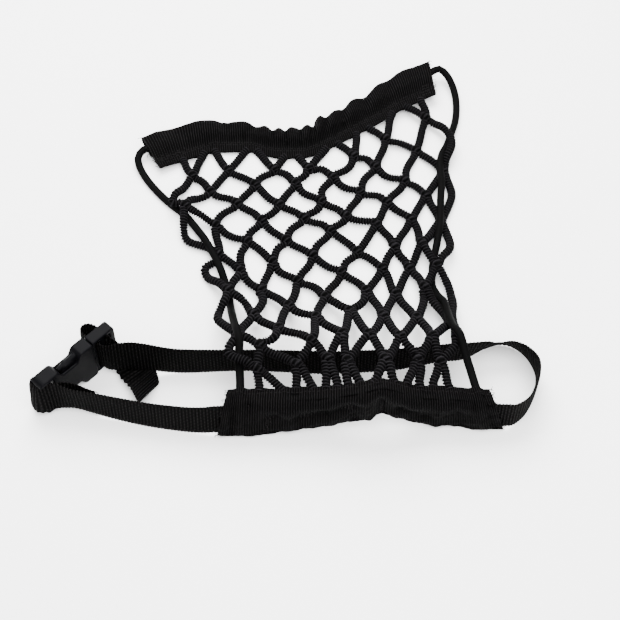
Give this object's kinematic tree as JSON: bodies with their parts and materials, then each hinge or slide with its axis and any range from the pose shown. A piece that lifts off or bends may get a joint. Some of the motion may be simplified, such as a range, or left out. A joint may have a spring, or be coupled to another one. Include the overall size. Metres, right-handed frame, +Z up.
{
  "type": "cargo net",
  "caption": "Stretch cord cargo net between two ribbon bindings, with an elastic edge cord and a buckled webbing belt, lying draped over the belt.",
  "frame": {"origin": "centre of the bounding box at the ground, measured without the elastic cord", "axes": "+Z up from the ground, +X along the belt away from its buckle, +Y from the belt to the top binding"},
  "size_m": [0.3143, 0.3121, 0.0434],
  "materials": {
    "net_cord": "matte ribbed cord",
    "ribbon": "matte ribbed ribbon",
    "elastic": "matte braided sleeve",
    "webbing": "matte woven webbing",
    "buckle_plastic": "satin moulded"
  },
  "bodies": {
    "root": {"net": "net_cord", "top_binding": "ribbon", "bottom_binding": "ribbon", "elastic_cord": "elastic", "belt": "webbing", "buckle_socket": "buckle_plastic", "buckle_plug": "buckle_plastic"}
  },
  "joints": []
}
